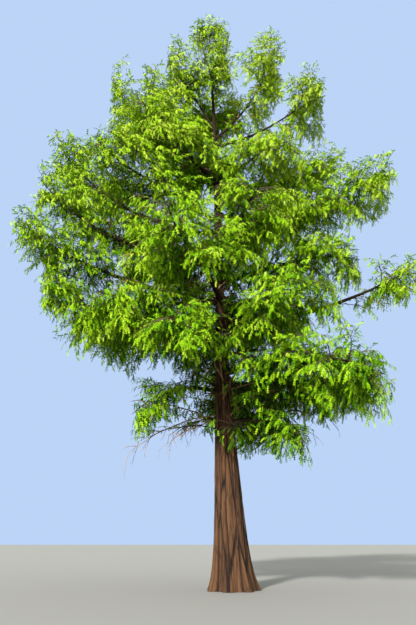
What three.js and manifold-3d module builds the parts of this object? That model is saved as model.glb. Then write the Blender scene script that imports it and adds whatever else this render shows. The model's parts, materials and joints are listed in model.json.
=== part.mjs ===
// A dawn redwood, whole, as an old one stands in a park: a fluted trunk with a strong taper, long limbs
// that turn up at their ends, and a broad egg-shaped crown of feathery sprays in separate masses.
// Millimetres, +Z up. The origin is the middle of the flat cut at ground level. +X is to the right and
// -Y is towards someone who looks at the front of the tree.

import * as THREE from "three";
import { mergeVertices } from "three/addons/utils/BufferGeometryUtils.js";
import Module from "manifold-3d";

const wasm = await Module();
wasm.setup();

const METRE = 1000;
const GAP = 0.3; // left between two solids that touch on the real tree

// Driving sizes of the trunk
const TREE_HEIGHT = 22 * METRE;
const TRUNK_TOP = 20.9 * METRE; // above this the leader is a soft shoot inside the top mass
const LEAN = 0.72 * METRE; // the tip stands this far to the left of the foot
const SWAY = 0.04 * METRE; // gentle S bend on top of the lean
const SWAY_BACK = 0.055 * METRE; // and a smaller one to and from the front
const STEM_RADIUS = 0.24 * METRE; // the slim part of the taper, which ends at the tip
const STEM_TAPER = 0.8;
const BUTT_RADIUS = 0.36 * METRE; // the stout part, which ends at BUTT_HEIGHT
const BUTT_HEIGHT = 10 * METRE;
const BUTT_TAPER = 1.5;
const FORK_HEIGHT = 16 * METRE; // the leader above the top limbs is thinner
const FORK_LOSS = 0.5; // share of the radius lost from there to the tip
const FLARE_RADIUS = 0.16 * METRE; // root flare, which dies away over FLARE_HEIGHT
const FLARE_HEIGHT = 0.45 * METRE;
const FLUTES = 7; // buttress ribs that run down into the roots
const FLUTE_DEPTH = 0.13; // share of the radius at the ground
const FLUTE_HEIGHT = 1.9 * METRE;
const TRUNK_TIP_RADIUS = 0.018 * METRE;

// Driving sizes of the limbs
const LIMB_RADIUS_SHARE = 0.0125; // a limb's root radius for each unit of its length
const LIMB_RADIUS_LEAST = 0.026 * METRE;
const LIMB_RADIUS_MOST = 0.6; // share of the trunk's radius where the limb leaves it
const LIMB_TIP_RADIUS = 0.009 * METRE;
const LIMB_TAPER = 0.85;
const COLLAR_SWELL = 0.35; // how much wider a limb is where it leaves the trunk
const COLLAR_LENGTH = 0.3 * METRE;
const KNEE_OUT = 0.6; // a limb's bend lies this share of its reach out
const END_SPRAY = 1.05 * METRE; // a limb's last metre is its end spray alone,
const END_SPRAY_SHARE = 0.45; // or this share of a short limb

// Driving sizes of the foliage
const TWIG_STEP = 0.75 * METRE; // along the stem from one twig to the next
const TWIGS_LEAST = 3;
const TWIGS_MOST = 4;
const TWIG_RADIUS = 0.028 * METRE;
const SPRAYS_OF_A_MASS = 12;
const SPRAY_TRIES = 100;
const SPRAY_LONGEST = 2.4 * METRE;
const SPRAY_SIZES = [1, 0.8, 0.62]; // tried in turn, the largest first
const SPRAY_WIDTH_SHARE = 0.68; // a spray's whole width for each unit of its length
const SPRAY_THICKNESS_SHARE = 0.035;
const SPRAY_SINK = 0.3; // how far past the middle of its twig a spray is rooted, in units of its radius
const SPACE_MARGIN = 0.03; // left between two masses, in units of their spreads
const TRUNK_CLEARANCE = 0.05 * METRE; // between the trunk and a twig or spray

const BARK = { color: 0x6b4630, roughness: 0.95, metalness: 0 };
const NEEDLES = { color: 0x6f9a24, roughness: 0.75, metalness: 0 };

// One limb each: height on the trunk, compass angle (0 is right, 90 away, 180 left, 270 to the front),
// reach, rise of its tip, height of its bend (knee), share of it that is bare, and half the width of its
// foliage. Lengths are in metres. A limb with no bare part carries its foliage from the trunk on.
const limb = (name, height, compass, reach, rise, knee, bare, spread) => ({
  name,
  height: height * METRE,
  compass: THREE.MathUtils.degToRad(compass),
  reach: reach * METRE,
  rise: rise * METRE,
  knee: knee * METRE,
  bare,
  spread: spread * METRE,
});

const LIMBS = [
  limb("top_left", 16.6, 192, 1.95, 3.5, 1.7, 0.3, 1.65),
  limb("top_right", 18.5, 15, 0.75, 3.1, 1.1, 0, 0.85),
  limb("top_front", 17.9, 255, 1.5, 1.8, 0.8, 0, 1.35),
  limb("top_back", 17.1, 80, 2.2, 2.1, 0.8, 0, 1.6),
  limb("high_right_steep", 16.1, 8, 2.85, 5.0, 1.8, 0.55, 2.0),
  limb("high_left_steep", 15.5, 174, 3.0, 4.2, 1.1, 0, 1.6),
  limb("high_right", 15.7, 354, 4.35, 2.3, 0.8, 0.64, 1.95),
  limb("high_left", 14.5, 190, 4.2, 4.0, 0.9, 0.2, 1.8),
  limb("high_back", 15, 98, 3.8, 1.9, 0.5, 0, 2.0),
  limb("high_front_left", 14, 229, 4.0, 1.6, 0.6, 0, 2.0),
  limb("high_front_right", 14.2, 318, 3.6, 0.2, 0.3, 0, 1.6),
  limb("upper_right", 14, 12, 4.9, 1.4, 0.3, 0, 2.1),
  limb("upper_left", 11.9, 172, 6.6, 4.7, 0.5, 0.33, 2.0),
  limb("upper_right_long", 11.9, 357, 6.6, 2.9, 0.5, 0.3, 1.75),
  limb("upper_front_left", 12.4, 222, 5.5, 1.1, 0.4, 0.25, 2.2),
  limb("upper_front_right", 11.2, 289, 4.1, 0.4, 0.4, 0, 2.2),
  limb("upper_back_right", 12.8, 52, 5.4, 1.8, 0.5, 0, 2.3),
  limb("upper_back_left", 11.3, 125, 6.0, 2.0, 0.4, 0.25, 2.4),
  limb("middle_left_steep", 10.6, 184, 6.7, 3.4, 0.3, 0.36, 1.9),
  limb("middle_left_long", 9.2, 189, 7.3, 2.8, 0.4, 0.45, 1.6),
  limb("middle_right", 9.9, 342, 4.9, 0.3, 0.9, 0, 2.0),
  limb("middle_right_long", 8.4, 2, 7.0, 2.3, 0.4, 0.74, 1.5),
  limb("middle_front", 9.4, 254, 5.7, 0.7, 0.3, 0.28, 2.3),
  limb("middle_front_right", 7.85, 306, 4.7, 0.6, 0.4, 0.25, 2.2),
  limb("middle_back_right", 9.5, 68, 6.8, 1.4, 0.3, 0.28, 2.5),
  limb("middle_back_left", 8.6, 138, 6.9, 1.8, 0.3, 0, 2.5),
  limb("middle_left_low", 7.8, 196, 6.2, 1.5, 0.3, 0.33, 1.9),
  limb("lower_left", 8.0, 226, 5.2, 0.2, 0.3, 0.25, 2.1),
  limb("lower_right_front", 6.7, 320, 5.6, -0.9, 0.5, 0.22, 2.2),
  limb("lower_right", 6.3, 20, 6.3, 0.9, 0.4, 0.3, 2.1),
  limb("lower_front", 7.2, 250, 4.9, -0.1, 0.5, 0, 1.7),
  limb("lower_back", 6.7, 78, 6.7, 0.8, 0.4, 0.33, 2.3),
  limb("lowest_left", 6.0, 202, 3.1, -0.9, 0.4, 0.4, 1.2),
  limb("lowest_right", 5.0, 330, 2.9, -0.9, 0.3, 0.4, 1.2),
  limb("lowest_back", 5.6, 62, 4.5, -0.3, 0.4, 0.4, 1.8),
  limb("lowest_front", 4.75, 284, 1.4, -0.1, 0.25, 0, 0.85),
];

// The leader's own mass grows on from the trunk's tip.
const LEADER_SPREAD = 0.95 * METRE;
const LEADER_STEM = 0.6; // share of the leader that its stem takes

// A repeatable number from 0 to 1 for each seed.
const chance = (seed) => {
  const wave = Math.sin(seed * 12.9898) * 43758.5453;
  return wave - Math.floor(wave);
};
const between = (low, high, seed) => low + (high - low) * chance(seed);

const UP = new THREE.Vector3(0, 0, 1);
const vector = (x, y, z) => new THREE.Vector3(x, y, z);

// The trunk's middle line and its radius at a height. The ribs at its foot follow the angle round it.
function trunkCentre(z) {
  const t = z / TREE_HEIGHT;
  const wave = SWAY * Math.sin(2 * Math.PI * t);
  return vector(-LEAN * t - wave, SWAY_BACK * Math.sin(3 * Math.PI * t), z);
}

function trunkRadius(z, angle = 0) {
  const slim = STEM_RADIUS * Math.max(0, 1 - z / TREE_HEIGHT) ** STEM_TAPER;
  const stout = BUTT_RADIUS * Math.max(0, 1 - z / BUTT_HEIGHT) ** BUTT_TAPER;
  const flare = FLARE_RADIUS * Math.exp(-z / FLARE_HEIGHT);
  const rib = 1 + FLUTE_DEPTH * Math.exp(-z / FLUTE_HEIGHT) * Math.cos(FLUTES * angle);
  const loss = (FORK_LOSS * Math.max(0, z - FORK_HEIGHT)) / (TREE_HEIGHT - FORK_HEIGHT);
  return Math.max(TRUNK_TIP_RADIUS, (slim * (1 - loss) + stout + flare) * rib);
}

// Draws a cylinder or cone of three.js out along a line: centre(t) is its middle, frame(t) gives the two
// directions across it, and radius(t, angle) is its size, all for t from 0 at the foot to 1 at the tip.
function drawnOut(centre, frame, radius, sides, steps, pointed) {
  const geometry = new THREE.CylinderGeometry(pointed ? 0 : 1, 1, 1, sides, steps);
  const position = geometry.getAttribute("position");
  for (let i = 0; i < position.count; i++) {
    const x = position.getX(i);
    const z = position.getZ(i);
    const t = position.getY(i) + 0.5;
    const spot = centre(t);
    const away = Math.hypot(x, z);
    if (away > 1e-6) {
      const { side, over } = frame(t);
      const r = radius(t, Math.atan2(z, x));
      spot.addScaledVector(side, (x / away) * r).addScaledVector(over, (z / away) * r);
    }
    position.setXYZ(i, spot.x, spot.y, spot.z);
  }
  return geometry;
}

// A closed solid for joining and cutting, from a three.js geometry.
function solidOf(geometry) {
  const bare = geometry.clone();
  bare.deleteAttribute("normal");
  bare.deleteAttribute("uv");
  const merged = mergeVertices(bare, 1e-3);
  const vertProperties = new Float32Array(merged.getAttribute("position").array);
  const triVerts = new Uint32Array(merged.index.array);
  return new wasm.Manifold(new wasm.Mesh({ numProp: 3, vertProperties, triVerts }));
}

// A three.js geometry from a solid.
function geometryOf(solid) {
  const mesh = solid.getMesh();
  const position = new Float32Array(mesh.numVert * 3);
  for (let i = 0; i < mesh.numVert; i++) {
    position.set(mesh.vertProperties.subarray(i * mesh.numProp, i * mesh.numProp + 3), i * 3);
  }
  const geometry = new THREE.BufferGeometry();
  geometry.setAttribute("position", new THREE.BufferAttribute(position, 3));
  geometry.setIndex(new THREE.BufferAttribute(new Uint32Array(mesh.triVerts), 1));
  geometry.computeVertexNormals();
  return geometry;
}

// The trunk, with extra added all round when it serves as the tool that cuts the limbs clear of it.
const TRUNK_SIDES = 2 * FLUTES; // a corner on each rib and in each hollow between two
const TRUNK_STEPS = 16;
const RING_CROWDING = 1.7; // more rings near the foot
function trunkSolid(extra = 0) {
  const heightAt = (t) => TRUNK_TOP * t ** RING_CROWDING;
  const level = { side: vector(1, 0, 0), over: vector(0, -1, 0) };
  const outside = extra / Math.cos(Math.PI / TRUNK_SIDES);
  return solidOf(
    drawnOut(
      (t) => trunkCentre(heightAt(t)),
      () => level,
      (t, angle) => trunkRadius(heightAt(t), angle) + outside,
      TRUNK_SIDES,
      TRUNK_STEPS,
      false,
    ),
  );
}

// A limb's whole line, from the trunk's middle through its knee to its tip, and the two directions
// across it. The first lies level, square to the way the limb points.
function limbLine({ height, compass, reach, rise, knee }) {
  const out = vector(Math.cos(compass), Math.sin(compass), 0);
  const start = trunkCentre(height);
  const bend = start.clone().addScaledVector(out, reach * KNEE_OUT).addScaledVector(UP, knee);
  const tip = start.clone().addScaledVector(out, reach).addScaledVector(UP, rise);
  const curve = new THREE.QuadraticBezierCurve3(start, bend, tip);
  const level = vector(-out.y, out.x, 0);
  const length = curve.getLength();
  return {
    start,
    out,
    length,
    stemEnd: 1 - Math.min(END_SPRAY / length, END_SPRAY_SHARE),
    rootRadius: Math.min(
      LIMB_RADIUS_LEAST + LIMB_RADIUS_SHARE * length,
      LIMB_RADIUS_MOST * trunkRadius(height),
    ),
    centre: (t) => curve.getPoint(t),
    along: (t) => curve.getTangent(t),
    frame: (t) => ({ side: level, over: level.clone().cross(curve.getTangent(t)) }),
  };
}

function limbRadius(line, t) {
  const collar = 1 + COLLAR_SWELL * Math.exp((-t * line.length) / COLLAR_LENGTH);
  return LIMB_TIP_RADIUS + (line.rootRadius - LIMB_TIP_RADIUS) * (1 - t) ** LIMB_TAPER * collar;
}

// The stretch of a line from one share of it to another, as a solid of its own.
function stretch(line, from, to, sides, steps, pointed) {
  const at = (t) => from + (to - from) * t;
  return solidOf(
    drawnOut(
      (t) => line.centre(at(t)),
      (t) => line.frame(at(t)),
      (t) => limbRadius(line, at(t)),
      sides,
      steps,
      pointed,
    ),
  );
}

// A spray of needles is a thin blade with three teeth: a sphere of six by two faces whose waist is drawn
// out to the blade's outline. Each pair is how far out and how far aside a corner lies, as shares.
const BLADE_MIDDLE = 0.42;
const BLADE_RIM = [
  [-1, 0],
  [-0.02, 1],
  [0.2, 0.5],
  [1, 0],
  [0.2, -0.5],
  [-0.02, -1],
];
function bladeCorners(root, along, normal, length) {
  const across = along.clone().cross(normal);
  const middle = root.clone().addScaledVector(along, length * BLADE_MIDDLE);
  const rim = BLADE_RIM.map(([out, aside]) => {
    const reach = length * (out < 0 ? BLADE_MIDDLE : 1 - BLADE_MIDDLE) * out;
    const sideways = (length * SPRAY_WIDTH_SHARE * aside) / 2;
    return middle.clone().addScaledVector(along, reach).addScaledVector(across, sideways);
  });
  const bulge = (length * SPRAY_THICKNESS_SHARE) / 2;
  const poles = [bulge, -bulge].map((height) => middle.clone().addScaledVector(normal, height));
  return { rim, poles };
}

function bladeSolid({ rim, poles }) {
  const geometry = new THREE.SphereGeometry(1, rim.length, 2);
  const position = geometry.getAttribute("position");
  for (let i = 0; i < position.count; i++) {
    const height = position.getY(i);
    const turn = Math.atan2(position.getZ(i), -position.getX(i)) / (2 * Math.PI);
    const corner = (Math.round(turn * rim.length) + rim.length) % rim.length;
    const spot = Math.abs(height) > 0.5 ? poles[height > 0 ? 0 : 1] : rim[corner];
    position.setXYZ(i, spot.x, spot.y, spot.z);
  }
  return solidOf(geometry);
}

// Each mass keeps to its own space: the points that are nearer to its own limb than to any other one,
// counted in units of each limb's spread, and no further from it than that spread. The spread narrows
// towards the tip.
const SPACE_SAMPLES = 14;
const TIP_NARROWING = 0.3; // share of the spread that is lost at the limb's tip
const grown = LIMBS.map((row) => {
  const line = limbLine(row);
  const shares = Array.from({ length: SPACE_SAMPLES }, (_, i) => (i + 1) / SPACE_SAMPLES);
  const widths = shares.map((t) => row.spread * (1 - TIP_NARROWING * t ** 3));
  return { ...row, line, widths, samples: shares.map(line.centre) };
});

const LEADER_SAMPLES = [-1.6, -0.8, 0.1, 0.4]; // its space reaches down round the trunk's top
const leaderLine = {
  start: trunkCentre(TRUNK_TOP),
  out: UP,
  length: TREE_HEIGHT - TRUNK_TOP,
  stemEnd: LEADER_STEM,
  rootRadius: TRUNK_TIP_RADIUS,
  centre: (t) => trunkCentre(TRUNK_TOP + (TREE_HEIGHT - TRUNK_TOP) * t),
  along: () => UP.clone(),
  frame: () => ({ side: vector(1, 0, 0), over: vector(0, -1, 0) }),
};
const leader = {
  name: "leader",
  height: TRUNK_TOP,
  reach: TREE_HEIGHT - TRUNK_TOP,
  bare: 0,
  spread: LEADER_SPREAD,
  line: leaderLine,
  widths: LEADER_SAMPLES.map(() => LEADER_SPREAD),
  samples: LEADER_SAMPLES.map(leaderLine.centre),
};
const masses = [...grown, leader];

function nearness(point, { samples, widths }) {
  return Math.min(...samples.map((sample, i) => sample.distanceTo(point) / widths[i]));
}

function inOwnSpace(point, own) {
  if (point.z > TREE_HEIGHT) return false;
  const { start, out } = own.line;
  if (point.clone().sub(start).dot(out) > own.reach) return false;
  const axis = trunkCentre(point.z);
  const fromAxis = Math.hypot(point.x - axis.x, point.y - axis.y);
  if (point.z < TRUNK_TOP && fromAxis < trunkRadius(point.z) + TRUNK_CLEARANCE) return false;
  const mine = nearness(point, own);
  if (mine > 1) return false;
  return masses.every((other) => other === own || nearness(point, other) > mine + SPACE_MARGIN);
}

// What has been placed so far, each with a label and its box, so that a new piece can keep off it.
const placed = [];
function place(label, solid) {
  placed.push({ label, solid, box: solid.boundingBox() });
}
const apart = (a, b) => [0, 1, 2].some((i) => a.min[i] > b.max[i] || b.min[i] > a.max[i]);
function isFree(solid, mayTouch) {
  const box = solid.boundingBox();
  const near = placed.filter((other) => !mayTouch.includes(other.label) && !apart(box, other.box));
  return near.every((other) => solid.intersect(other.solid).isEmpty());
}

// A three-sided twig that leaves its stem and sags towards its end.
const TWIG_SIDES = 3;
const TWIG_STEPS = 2;
const TWIG_BEND = 0.55; // the bend's place along it
const TWIG_SAG = 0.2; // share of its length
const TWIG_TAPER = 0.7; // share of its radius lost by its end
function makeTwig(root, heading, length, thickness) {
  const bend = root.clone().addScaledVector(heading, length * TWIG_BEND);
  const end = root.clone().addScaledVector(heading, length).addScaledVector(UP, -TWIG_SAG * length);
  const curve = new THREE.QuadraticBezierCurve3(root, bend, end);
  const frame = (u) => {
    const way = curve.getTangent(u);
    const side = way.clone().cross(UP).normalize();
    return { side, over: side.clone().cross(way) };
  };
  const centre = (u) => curve.getPoint(u);
  const radius = (u) => thickness * (1 - TWIG_TAPER * u);
  const solid = solidOf(drawnOut(centre, frame, radius, TWIG_SIDES, TWIG_STEPS, true));
  return { solid, bend, end, centre, radius, along: (u) => curve.getTangent(u) };
}

// A spray on a carrier, or nothing where it would leave the space or run through something else.
const SPRAY_TURNS = [0, 0.5, -0.5]; // radians, tried in turn
function makeSpray(own, carrier, at, heading, tilt, length) {
  const way = heading.clone().normalize();
  const level = way.clone().cross(UP);
  if (level.lengthSq() < 1e-4) level.set(1, 0, 0);
  const upright = level.normalize().clone().cross(way).normalize();
  const start = carrier.centre(at).addScaledVector(way, -SPRAY_SINK * carrier.radius(at));
  for (const turn of SPRAY_TURNS) {
    const normal = upright.clone().applyAxisAngle(way, tilt + turn);
    const corners = bladeCorners(start, way, normal, length);
    const outer = [...corners.rim.slice(1), ...corners.poles];
    if (!outer.every((corner) => inOwnSpace(corner, own))) continue;
    const blade = bladeSolid(corners);
    if (isFree(blade, [carrier.label, own.name])) return blade;
  }
  return null;
}

// The twigs of a mass leave its stem to the left and the right in turn. Each is rolled a little above or
// below level, and on a steep stem twigs stand all round it. Sprays leave both the stem and its twigs: up
// and out, to the side, or hanging. The largest sprays are placed first.
const TWIG_SWING = [45, 75]; // degrees from the stem's own direction
const TWIG_ROLL = [30, 90]; // degrees, the most on a level stem and on an upright one
const TWIG_LIFT = [-0.2, 0.6]; // added to a direction of length 1
const TWIG_LENGTH = [0.7, 0.4]; // share of the spread at the stem's start and at its end
const TWIG_SHARE = 0.8; // the most of the stem's radius that a twig takes
const TWIG_RANGE = [0.4, 0.9]; // the part of a twig that carries sprays
const SPRAY_TILT = 0.9; // radians to either side of level
const SPRAY_TURN = [0.1, 1.3]; // radians away from its carrier's direction
const SPRAY_RISE = [-2.2, 1.1]; // added to a direction of length 1
const SPRAY_SPREAD = 1.15; // the longest spray for each unit of the mass's spread
const END_OVERLAP = 0.03; // share of the stem that its end spray covers
const END_REACH = 0.985; // how much of the way to the limb's tip the end spray takes

function twigCarriers(own, first, last, seed) {
  const { name, line, spread } = own;
  const wanted = Math.round((line.length * (last - first)) / TWIG_STEP);
  const count = THREE.MathUtils.clamp(wanted, TWIGS_LEAST, TWIGS_MOST);
  const twigs = [];
  for (let k = 0; k < count; k++) {
    const s = seed * 31 + k * 7;
    const share = (k + between(0.3, 0.7, s)) / count;
    const at = first + (last - first) * share;
    const hand = k % 2 ? 1 : -1;
    const swing = THREE.MathUtils.degToRad(between(...TWIG_SWING, s + 1));
    const along = line.along(at);
    const { side, over } = line.frame(at);
    const mostRoll = THREE.MathUtils.degToRad(THREE.MathUtils.lerp(...TWIG_ROLL, Math.abs(along.z)));
    const roll = mostRoll * between(-1, 1, s + 4);
    const heading = along
      .clone()
      .multiplyScalar(Math.cos(swing))
      .addScaledVector(side, hand * Math.cos(roll) * Math.sin(swing))
      .addScaledVector(over, Math.sin(roll) * Math.sin(swing))
      .addScaledVector(UP, between(...TWIG_LIFT, s + 2))
      .normalize();
    const length = spread * THREE.MathUtils.lerp(...TWIG_LENGTH, share) * between(0.8, 1.1, s + 3);
    const thickness = Math.min(TWIG_RADIUS, limbRadius(line, at) * TWIG_SHARE);
    const twig = makeTwig(line.centre(at), heading, length, thickness);
    if (!inOwnSpace(twig.end, own) || !inOwnSpace(twig.bend, own) || !isFree(twig.solid, [name])) continue;
    const label = `${name}, twig ${k}`;
    place(label, twig.solid);
    twigs.push({ ...twig, label, range: TWIG_RANGE });
  }
  return twigs;
}

function growMass(own, from, stem, seed) {
  const { name, line, spread } = own;
  const clear = (trunkRadius(own.height) + 4 * TRUNK_CLEARANCE) / line.length;
  const first = own === leader ? from : Math.max(from, clear);
  const last = line.stemEnd;
  const radius = (t) => limbRadius(line, t);
  const stemCarrier = { ...line, radius, solid: stem, label: name, range: [first, last] };
  const sprays = [];
  const addSpray = (carrier, at, way, tilt, length) => {
    const spray = makeSpray(own, carrier, at, way, tilt, length);
    if (!spray) return;
    place(`${name}, spray ${sprays.length}`, spray);
    sprays.push(spray);
  };

  const endTilt = between(-SPRAY_TILT, SPRAY_TILT, seed);
  const endWay = line.centre(1).sub(line.centre(last - END_OVERLAP));
  addSpray(stemCarrier, last - END_OVERLAP, endWay, endTilt, endWay.length() * END_REACH);

  const carriers = [stemCarrier, ...twigCarriers(own, first, last, seed)];
  const longest = Math.min(SPRAY_LONGEST, spread * SPRAY_SPREAD);
  for (const size of SPRAY_SIZES) {
    for (let j = 0; j < SPRAY_TRIES && sprays.length < SPRAYS_OF_A_MASS; j++) {
      const s = seed * 101 + j * 11;
      const carrier = carriers[j % carriers.length];
      const at = between(...carrier.range, s);
      const hand = chance(s + 1) < 0.5 ? -1 : 1;
      const way = carrier.along(at).applyAxisAngle(UP, hand * between(...SPRAY_TURN, s + 2));
      way.addScaledVector(UP, between(...SPRAY_RISE, s + 3));
      const tilt = between(-SPRAY_TILT, SPRAY_TILT, s + 4);
      addSpray(carrier, at, way, tilt, longest * size);
    }
  }
  return wasm.Manifold.union([...carriers.map((carrier) => carrier.solid), ...sprays]);
}

// The largest body of a solid: loose scraps are dropped.
function largestBody(solid) {
  const bodies = solid.decompose();
  return bodies.reduce((best, body) => (body.volume() > best.volume() ? body : best));
}

// Every sub-part is a mesh with a name of its own. Trunk, boughs and stems are placed first, and the
// foliage then keeps off them.
const tree = new THREE.Group();
function addNode(name, solid, look) {
  const mesh = new THREE.Mesh(geometryOf(largestBody(solid)), new THREE.MeshStandardMaterial(look));
  mesh.name = name;
  tree.add(mesh);
}

const BOUGH_SIDES = 6;
const BOUGH_STEPS = 4;
const STEM_SIDES = 4;
const STEM_STEPS = 2;

const trunk = trunkSolid();
const trunkTool = trunkSolid(GAP);
place("trunk", trunkTool);
addNode("trunk", trunk, BARK);

grown.forEach(({ name, line, bare }) => {
  if (bare === 0) return;
  const bough = stretch(line, 0, bare, BOUGH_SIDES, BOUGH_STEPS, false).subtract(trunkTool);
  place(`bough_${name}`, bough);
  addNode(`bough_${name}`, bough, BARK);
});

const stems = masses.map(({ name, line, bare }) => {
  const from = bare > 0 || name === "leader" ? bare + GAP / line.length : 0;
  const whole = stretch(line, from, line.stemEnd, STEM_SIDES, STEM_STEPS, true);
  const stem = from === 0 ? whole.subtract(trunkTool) : whole;
  place(name, stem);
  return { from, stem };
});

masses.forEach((own, i) => {
  const { from, stem } = stems[i];
  addNode(`foliage_${own.name}`, growMass(own, from, stem, i + 1), NEEDLES);
});

export default tree;
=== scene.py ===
# %% [markdown]
# # Dressing a dawn redwood
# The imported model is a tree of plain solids: a faceted trunk, tapering boughs, and masses of large
# toothed blades that stand for sprays of needles. This lesson grows the fine tree on those same
# lines. The trunk and the boughs get bark with real relief, and every mass becomes side branches,
# twigs and feathery sprays. Everything is in metres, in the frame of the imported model: the ground
# is z = 0, +X is to the right and -Y is towards the viewer.

# %% Load the fixed frame
import json
import math
from dataclasses import dataclass
from typing import NamedTuple

import bpy
import numpy as np
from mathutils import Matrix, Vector

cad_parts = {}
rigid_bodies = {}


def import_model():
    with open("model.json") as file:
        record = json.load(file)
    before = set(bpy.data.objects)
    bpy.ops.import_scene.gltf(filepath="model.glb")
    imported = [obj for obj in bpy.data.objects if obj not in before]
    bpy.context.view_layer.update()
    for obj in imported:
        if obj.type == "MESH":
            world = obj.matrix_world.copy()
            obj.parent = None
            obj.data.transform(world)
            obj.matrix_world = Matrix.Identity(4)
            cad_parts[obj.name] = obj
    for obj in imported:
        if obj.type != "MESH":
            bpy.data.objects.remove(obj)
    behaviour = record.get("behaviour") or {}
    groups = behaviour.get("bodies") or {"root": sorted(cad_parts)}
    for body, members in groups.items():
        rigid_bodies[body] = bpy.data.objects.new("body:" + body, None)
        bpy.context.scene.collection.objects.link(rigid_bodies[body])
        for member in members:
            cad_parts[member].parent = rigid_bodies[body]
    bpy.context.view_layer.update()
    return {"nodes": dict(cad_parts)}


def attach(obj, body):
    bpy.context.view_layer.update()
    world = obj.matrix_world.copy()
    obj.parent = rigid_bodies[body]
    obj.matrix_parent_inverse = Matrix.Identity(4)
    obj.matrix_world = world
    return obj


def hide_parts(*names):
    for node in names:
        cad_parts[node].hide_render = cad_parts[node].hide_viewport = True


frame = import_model()
print("packed nodes:", len(frame["nodes"]))

# %% [markdown]
# ## The camera
# The picture was taken from the ground, about 20 m from the trunk, with the camera tilted up. The
# slope of the trunk's sides and the place of the horizon give the tilt. A camera could also be
# aimed with a Track To constraint, but a plain rotation is easier to read here, because the view
# only tilts and never turns.

# %% Camera
EYE_HEIGHT = 1.6
DISTANCE = 20.0
TILT = math.radians(20)
EYE_SIDE = -0.75
LENS = 35
SENSOR_WIDTH = 36

camera_data = bpy.data.cameras.new("viewer")
camera_data.lens = LENS
camera_data.sensor_width = SENSOR_WIDTH
camera = bpy.data.objects.new("viewer", camera_data)
camera.location = (EYE_SIDE, -DISTANCE, EYE_HEIGHT)
camera.rotation_euler = (math.pi / 2 + TILT, 0, 0)
bpy.context.collection.objects.link(camera)
bpy.context.scene.camera = camera
print("eye to trunk:", DISTANCE, "m, tilted up", round(math.degrees(TILT)), "degrees")

# %% [markdown]
# ## Light, floor and backdrop
# Small leaves need one clear direction of light, or the crown turns into a flat green blot. A wide
# sun from the front left, a third of the way up, lights the near side of every tuft, and a pale
# world fills the shadows, as a studio's white walls would. The floor is a large plain sheet. The
# camera sees another, bluer colour of the world than the one that lights the tree, and that is the
# backdrop.

# %% Light and stage
SUN_FROM = Vector((-0.45, -1.0, 0.6))
SUN_STRENGTH = 7.0
SUN_WIDTH = math.radians(6)
SUN_COLOUR = (1.0, 0.96, 0.88)
SKY_COLOUR = (0.88, 0.92, 0.86, 1)
SKY_STRENGTH = 1.15
BACKDROP_COLOUR = (0.5, 0.66, 0.93, 1)
FLOOR_SIZE = 160
FLOOR_DROP = 0.004
FLOOR_COLOUR = (0.22, 0.22, 0.22)
DRY = 0.9

sun_data = bpy.data.lights.new("key_light", "SUN")
sun_data.energy = SUN_STRENGTH
sun_data.angle = SUN_WIDTH
sun_data.color = SUN_COLOUR
sun = bpy.data.objects.new("key_light", sun_data)
sun.rotation_euler = (-SUN_FROM).to_track_quat("-Z", "Y").to_euler()
bpy.context.collection.objects.link(sun)

world = bpy.data.worlds.new("pale_studio")
bpy.context.scene.world = world
world.use_nodes = True
background = world.node_tree.nodes["Background"]
background.inputs["Color"].default_value = SKY_COLOUR
background.inputs["Strength"].default_value = SKY_STRENGTH
backdrop = world.node_tree.nodes.new("ShaderNodeBackground")
backdrop.inputs["Color"].default_value = BACKDROP_COLOUR
lit_or_seen = world.node_tree.nodes.new("ShaderNodeMixShader")
ray = world.node_tree.nodes.new("ShaderNodeLightPath")
links = world.node_tree.links
links.new(ray.outputs["Is Camera Ray"], lit_or_seen.inputs["Fac"])
links.new(background.outputs["Background"], lit_or_seen.inputs[1])
links.new(backdrop.outputs["Background"], lit_or_seen.inputs[2])
links.new(lit_or_seen.outputs["Shader"], world.node_tree.nodes["World Output"].inputs["Surface"])
bpy.context.scene.view_settings.view_transform = "Standard"


def plain_material(name, colour, roughness, specular=0.5):
    """One colour all over, set on the shader's own sockets."""
    material = bpy.data.materials.new(name)
    material.use_nodes = True
    shader = material.node_tree.nodes["Principled BSDF"]
    shader.inputs["Base Color"].default_value = (*colour, 1)
    shader.inputs["Roughness"].default_value = roughness
    shader.inputs["Specular IOR Level"].default_value = specular
    return material


half = FLOOR_SIZE / 2
floor_mesh = bpy.data.meshes.new("floor")
corners = [(x * half, y * half, -FLOOR_DROP) for x, y in ((-1, -1), (1, -1), (1, 1), (-1, 1))]
floor_mesh.from_pydata(corners, [], [(0, 1, 2, 3)])
floor_mesh.materials.append(plain_material("pale_floor", FLOOR_COLOUR, DRY))
floor = bpy.data.objects.new("floor", floor_mesh)
bpy.context.collection.objects.link(floor)
print("sun:", round(math.degrees(math.asin(SUN_FROM.normalized().z))), "degrees above the ground")

# %% [markdown]
# ## The trunk's line and thickness
# A trunk could be drawn as a curve with a bevel, but a formula keeps the bark, the boughs and the
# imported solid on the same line. The middle line leans to the left and sways a little. The radius is
# the sum of a slim part that tapers all the way up, a stout part that ends at 10 m, and the root
# flare, which dies away quickly. Seven ribs run down into the roots.

# %% Trunk formulas
TREE_HEIGHT = 22.0
TRUNK_TOP = 20.9
LEAN = 0.72
SWAY = 0.04
SWAY_BACK = 0.055
STEM_RADIUS = 0.24
STEM_TAPER = 0.8
BUTT_RADIUS = 0.36
BUTT_HEIGHT = 10.0
BUTT_TAPER = 1.5
FORK_HEIGHT = 16.0
FORK_LOSS = 0.5
FLARE_RADIUS = 0.16
FLARE_HEIGHT = 0.45
FLUTES = 7
FLUTE_DEPTH = 0.13
FLUTE_HEIGHT = 1.9
TRUNK_TIP_RADIUS = 0.018


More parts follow.
